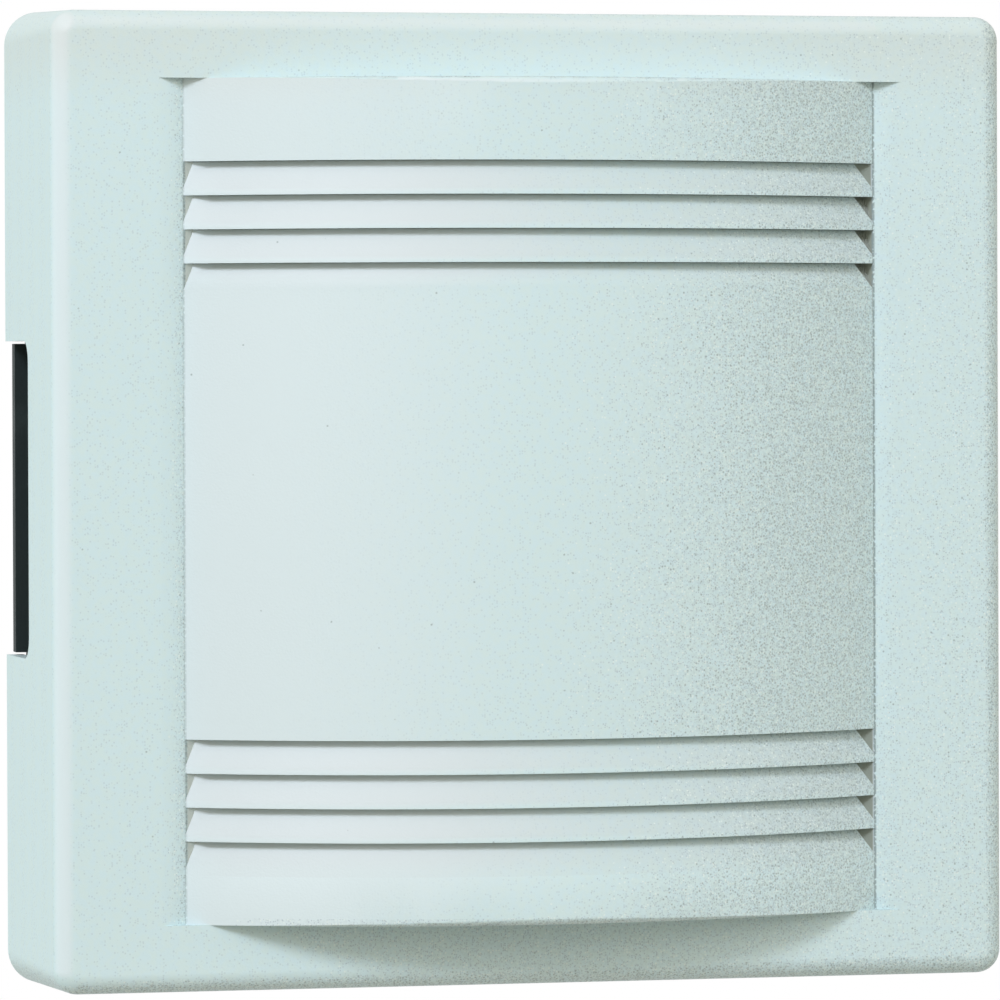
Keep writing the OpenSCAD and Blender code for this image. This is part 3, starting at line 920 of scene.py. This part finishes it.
def smooth_route(points: Sequence[Point], per_span: int) -> List[Vector]:
    """A smooth line through points.

    Args:
        points: the points, in order.
        per_span: samples between two points.

    Returns:
        The samples.
    """
    known = [Vector(p) for p in points]
    known = [2 * known[0] - known[1], *known, 2 * known[-1] - known[-2]]
    line = []
    for a, b, c, d in zip(known, known[1:], known[2:], known[3:]):
        for i in range(per_span):
            t = i / per_span
            curve = (2 * a - 5 * b + 4 * c - d) * t**2 + (3 * b - a - 3 * c + d) * t**3
            line.append(0.5 * (2 * b + (c - a) * t + curve))
    line.append(known[-2])
    return line


def tube_mesh(
    name: str, line: Sequence[Vector], radius: float, sides: int, end_share: float = 0.72
) -> bpy.types.Mesh:
    """A closed tube along a line, drawn in at its ends.

    Args:
        name: the mesh's name.
        line: points along its middle.
        radius: its radius.
        sides: points round it.
        end_share: share of the radius at its ends.

    Returns:
        The mesh.
    """
    bm = bmesh.new()
    turns = [2 * math.pi * k / sides for k in range(sides)]
    side = (line[1] - line[0]).orthogonal().normalized()
    rings = []
    last = len(line) - 1
    for i, middle in enumerate(line):
        ahead = (line[min(i + 1, last)] - line[max(i - 1, 0)]).normalized()
        side = (side - ahead * side.dot(ahead)).normalized()
        other = ahead.cross(side)
        reach = radius * (end_share if i in (0, last) else 1.0)
        ring = [middle + reach * (side * math.cos(t) + other * math.sin(t)) for t in turns]
        rings.append([bm.verts.new(point) for point in ring])
    for low, high in zip(rings, rings[1:]):
        for k in range(sides):
            bm.faces.new((low[k], low[(k + 1) % sides], high[(k + 1) % sides], high[k]))
    bm.faces.new(rings[0][::-1])
    bm.faces.new(rings[-1])
    return mesh_from(bm, name, math.radians(60))


# Sub-assemblies


@dataclass
class Cover:
    """The moulded front cover."""

    edges: Rounding = Rounding(0.12 * MM, 2, 50.0)
    ramp_depth: Tuple[float, float] = (2.5 * MM, 2.7 * MM)
    ramp_lift: float = 1.0 * MM
    ramp_rise: float = 0.10 * MM
    panel_half: float = 47.4 * MM
    ramp_end_x: float = 45.0 * MM
    ramp_end_shift: Mapping[Side, float] = field(
        default_factory=lambda: {Side.LEFT: 1.2 * MM, Side.RIGHT: 2.4 * MM}
    )
    ramp_end_lift: Mapping[Side, float] = field(
        default_factory=lambda: {Side.LEFT: 0.9 * MM, Side.RIGHT: 0.3 * MM}
    )

    def build(self) -> None:
        """Makes the cover."""
        cover = softened("front_cover", self.edges, reshape=self._lift_ramps)
        settle(cover, Body.COVER, COVER_PLASTIC, ["front_cover"])

    def _lift_ramps(self, bm: bmesh.types.BMesh) -> None:
        """Brings the ramps' inner edges toward the panel's surface, and slants the ramps' ends.

        Args:
            bm: the cover's bmesh.
        """
        for vert in bm.verts:
            outward = Vector((vert.co.x, vert.co.y - BOW_AXIS_Y, 0.0))
            is_deep = self.ramp_depth[0] < BOW_R - outward.length < self.ramp_depth[1]
            if not is_deep or vert.co.y > 0.0 or abs(vert.co.x) > self.panel_half:
                continue
            outward.normalize()
            side = Side.LEFT if vert.co.x < 0.0 else Side.RIGHT
            if abs(vert.co.x) > self.ramp_end_x:
                inward = Vector((side.value * outward.y, -side.value * outward.x, 0.0))
                vert.co += outward * self.ramp_end_lift[side] + inward * self.ramp_end_shift[side]
            vert.co += outward * self.ramp_lift + Vector((0.0, 0.0, self.ramp_rise))


@dataclass
class BasePlate:
    """The black plate on the wall."""

    edges: Rounding = Rounding(0.25 * MM, 2)

    def build(self) -> None:
        """Makes the plate."""
        settle(softened("base_plate", self.edges), Body.BASE, BASE_PLASTIC, ["base_plate"])


@dataclass
class ToneBars:
    """The two tone bars on their grommets."""

    bar_edges: Rounding = Rounding(0.22 * MM, 2)
    rubber_edges: Rounding = Rounding(0.45 * MM, 3)
    clip_edges: Rounding = Rounding(0.15 * MM, 2)

    def build(self) -> None:
        """Makes the bars, the grommets and the clips."""
        for side in Side:
            end = side.name.lower()
            bar, grommets = f"tone_bar_{end}", f"bar_grommets_{end}"
            settle(softened(bar, self.bar_edges), Body.BASE, TONE_STEEL, [bar])
            settle(softened(grommets, self.rubber_edges), Body.BASE, RUBBER, [grommets])
        settle(softened("bar_clips", self.clip_edges), Body.BASE, ZINC_PLATE, ["bar_clips"])


@dataclass
class Solenoid:
    """The coil in its steel frame."""

    finishes: Mapping[str, Finish] = field(
        default_factory=lambda: {
            "coil_bobbin": BOBBIN_NYLON,
            "coil_winding": COPPER,
            "coil_wrap": TAPE,
            "solenoid_yoke": ZINC_PLATE,
            "yoke_keeper": ZINC_PLATE,
            "yoke_screws": ZINC_PLATE,
        }
    )
    edges: Rounding = Rounding(0.20 * MM, 2)

    def build(self) -> None:
        """Makes the coil, the yoke, the keeper and the screws."""
        for node, finish in self.finishes.items():
            settle(softened(node, self.edges), Body.BASE, finish, [node])


@dataclass
class Plunger:
    """The striker with its return spring."""

    finishes: Mapping[str, Finish] = field(
        default_factory=lambda: {
            "plunger_core": CORE_STEEL,
            "striker_tip_left": STRIKER_NYLON,
            "striker_tip_right": STRIKER_NYLON,
            "spring_collar": BASE_PLASTIC,
        }
    )
    edges: Rounding = Rounding(0.25 * MM, 2)
    wire_r: float = 0.35 * MM
    closed_gap: float = 0.5 * MM
    open_turns: int = 3
    steps_per_turn: int = 36
    wire_sides: int = 12

    def build(self) -> None:
        """Makes the core, the tips, the collar and the spring."""
        for node, finish in self.finishes.items():
            settle(softened(node, self.edges), Body.PLUNGER, finish, [node])
        self._spring()

    def _spring(self) -> None:
        """Makes the spring, which reaches from the yoke to the collar where the plunger rests."""
        low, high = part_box("return_spring")
        start, end = high.x - self.wire_r, low.x + self.wire_r
        middle = (low + high) / 2
        coil_r = (high.z - low.z) / 2 - self.wire_r
        closed = 2 * self.wire_r + self.closed_gap
        opened = (start - end - 2 * closed) / self.open_turns
        line = []
        for i in range((self.open_turns + 2) * self.steps_per_turn + 1):
            turn = i / self.steps_per_turn
            run = closed * (min(turn, 1.0) + max(turn - 1 - self.open_turns, 0.0))
            run += opened * min(max(turn - 1, 0.0), self.open_turns)
            angle = 2 * math.pi * turn
            across, up = -coil_r * math.sin(angle), coil_r * math.cos(angle)
            line.append(Vector((start - run, middle.y + across, middle.z + up)))
        mesh = tube_mesh("return_spring_piece", line, self.wire_r, self.wire_sides)
        spring = add_object("return_spring_piece", mesh)
        spring.data.materials.append(SPRING_STEEL.material())
        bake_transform(spring)
        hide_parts("return_spring")
        LOG.info("%s stretches between base and plunger", spring.name)


@dataclass
class Terminals:
    """The terminal block and the leads from the coil."""

    finishes: Mapping[str, Finish] = field(
        default_factory=lambda: {
            "terminal_block": TERMINAL_IVORY,
            "terminal_clamps": BRASS,
            "terminal_screws": ZINC_PLATE,
            "block_screw": ZINC_PLATE,
        }
    )
    edges: Rounding = Rounding(0.22 * MM, 2)
    lead_r: float = 0.65 * MM
    lead_sides: int = 14
    lead_route: Sequence[Point] = (
        (14.5, -16.5, -10.45), (14.9, -15.7, -12.05), (15.8, -14.0, -14.0), (17.0, -11.5, -17.5),
        (18.6, -9.4, -21.5), (20.0, -8.0, -26.0), (20.6, -7.2, -30.0), (20.4, -5.625, -33.5),
        (19.2, -5.625, -36.4), (17.4, -5.625, -38.0), (15.8, -5.625, -38.0), (10.7, -5.625, -38.0),
    )

    def build(self) -> None:
        """Makes the block, the clamps, the screws and the leads."""
        for node, finish in self.finishes.items():
            settle(softened(node, self.edges), Body.BASE, finish, [node])
        for side in Side:
            self._lead(side)

    def _lead(self, side: Side) -> None:
        """Makes the lead on one side.

        Args:
            side: which side.
        """
        name = f"coil_lead_{side.name.lower()}"
        points = [(side.value * x * MM, y * MM, z * MM) for x, y, z in self.lead_route]
        mesh = tube_mesh(name + "_piece", smooth_route(points, 6), self.lead_r, self.lead_sides)
        settle(add_object(name + "_piece", mesh), Body.BASE, SLEEVE, [name])


# Studio


@dataclass(frozen=True)
class Lamp:
    """A soft round lamp that points at the part."""

    name: str
    toward: Point
    distance: float
    size: float
    power: float
    color: Color

    def build(self) -> None:
        """Adds the lamp."""
        lamp = bpy.data.lights.new(self.name, "AREA")
        lamp.shape = "DISK"
        lamp.size = self.size
        lamp.energy = self.power
        lamp.color = self.color
        obj = bpy.data.objects.new(self.name, lamp)
        bpy.context.scene.collection.objects.link(obj)
        toward = Vector(self.toward).normalized()
        obj.location = toward * self.distance
        obj.rotation_mode = "QUATERNION"
        obj.rotation_quaternion = toward.to_track_quat("Z", "Y")


@dataclass
class Studio:
    """Floor, light and camera."""

    floor_drop: float = 1.0
    floor_half: float = 0.8
    floor_color: Color = (0.80, 0.80, 0.80)
    floor_lift: Color = (0.75, 0.75, 0.75)
    zenith: Color = (0.36, 0.345, 0.30)
    sky: Color = (1.015, 0.985, 0.87)
    ground: Color = (0.365, 0.325, 0.24)
    above: Tuple[float, float] = (0.45, 0.95)
    horizon: Tuple[float, float] = (-0.18, 0.48)
    lamps: Sequence[Lamp] = (
        Lamp("key_lamp", (-0.45, -0.71, 0.56), 1.5, 0.42, 11.85, (0.815, 0.87, 0.99)),
        Lamp("fill_lamp", (0.50, -0.80, 0.34), 1.5, 0.80, 3.0, (0.97, 0.99, 1.0)),
        Lamp("rim_lamp", (-0.97, 0.25, 0.0), 1.5, 0.60, 4.7, (0.74, 0.92, 1.0)),
    )
    camera_at: Point = (-187.58 * MM, -870.43 * MM, 18.146 * MM)
    yaw: float = 0.21529
    pitch: float = -0.00901
    roll: float = -0.00358
    focal_px: float = 6408.7
    centre_y_px: float = 421.1
    image_px: float = 1000.0
    sensor: float = 36.0

    def build(self) -> None:
        """Sets up the studio."""
        bpy.context.scene.view_settings.view_transform = "Standard"
        self._world()
        self._floor()
        for lamp in self.lamps:
            lamp.build()
        self._camera()
        LOG.info("studio is set")

    def _backdrop_rays(self, g: Graph) -> Sock:
        """Picks the rays that see the backdrop: straight, in gloss and through glass.

        Args:
            g: the graph.

        Returns:
            1 for these rays and 0 for the rest.
        """
        kinds = ("Is Camera Ray", "Is Glossy Ray", "Is Transmission Ray")
        straight, gloss, through = (g.node("ShaderNodeLightPath", out=kind) for kind in kinds)
        return straight.most(gloss).most(through)

    def _world(self) -> None:
        """A white surround that lights the part softly, most from half way up."""
        world = bpy.data.worlds.new("studio_surround")
        bpy.context.scene.world = world
        world.use_nodes = True
        g = Graph(world.node_tree)
        upward = g.axes(g.node("ShaderNodeTexCoord", out="Generated"))[2]
        color = g.mix(upward.step(*self.horizon), self.ground, self.sky)
        color = g.mix(upward.step(*self.above), color, self.zenith)
        soft = g.node("ShaderNodeBackground", None, {"Color": color, "Strength": 1.0})
        white = g.node("ShaderNodeBackground", None, {"Color": (*WHITE, 1.0), "Strength": 1.0})
        g.surface(g.node("ShaderNodeMixShader", None, {0: self._backdrop_rays(g), 1: soft, 2: white}))

    def _floor(self) -> None:
        """A pale floor below the part, which hangs on its wall."""
        half, level = self.floor_half, CAD_BOX[0][2] - self.floor_drop
        mesh = bpy.data.meshes.new("studio_floor")
        corners = ((-half, -half), (half, -half), (half, half), (-half, half))
        mesh.from_pydata([(x, y, level) for x, y in corners], [], [(0, 1, 2, 3)])
        floor = add_object("studio_floor", mesh)
        paint = bpy.data.materials.new("studio_floor_pale")
        paint.use_nodes = True
        g = Graph(paint.node_tree)
        matt = g.node("ShaderNodeBsdfDiffuse", None, {"Color": (*self.floor_color, 1.0)})
        glow = g.mix(self._backdrop_rays(g), BLACK, self.floor_lift)
        lift = g.node("ShaderNodeEmission", None, {"Color": glow})
        g.surface(g.node("ShaderNodeAddShader", None, {0: matt, 1: lift}))
        mesh.materials.append(paint)

    def _camera(self) -> None:
        """The camera at the photograph's viewing angle."""
        onward = Vector((math.sin(self.yaw), math.cos(self.yaw), 0.0))
        ahead = onward * math.cos(self.pitch) + Vector((0.0, 0.0, math.sin(self.pitch)))
        level = Vector((math.cos(self.yaw), -math.sin(self.yaw), 0.0))
        upward = level.cross(ahead)
        right = math.cos(self.roll) * level + math.sin(self.roll) * upward
        up = math.cos(self.roll) * upward - math.sin(self.roll) * level
        data = bpy.data.cameras.new("photo_camera")
        data.sensor_width = self.sensor
        data.lens = self.focal_px / self.image_px * self.sensor
        data.shift_y = (self.centre_y_px - self.image_px / 2) / self.image_px
        data.clip_start, data.clip_end = 0.01, 20.0
        camera = bpy.data.objects.new("photo_camera", data)
        bpy.context.scene.collection.objects.link(camera)
        turn = Matrix((right, up, -ahead)).transposed()
        camera.matrix_world = Matrix.Translation(self.camera_at) @ turn.to_4x4()
        bpy.context.scene.camera = camera


def main() -> None:
    """Builds the studio and the sub-assemblies in order."""
    logging.basicConfig(level=logging.INFO, format="%(message)s")
    for part in (Studio(), Cover(), BasePlate(), ToneBars(), Solenoid(), Plunger(), Terminals()):
        part.build()
    bpy.context.view_layer.update()


if __name__ == "__main__":
    main()
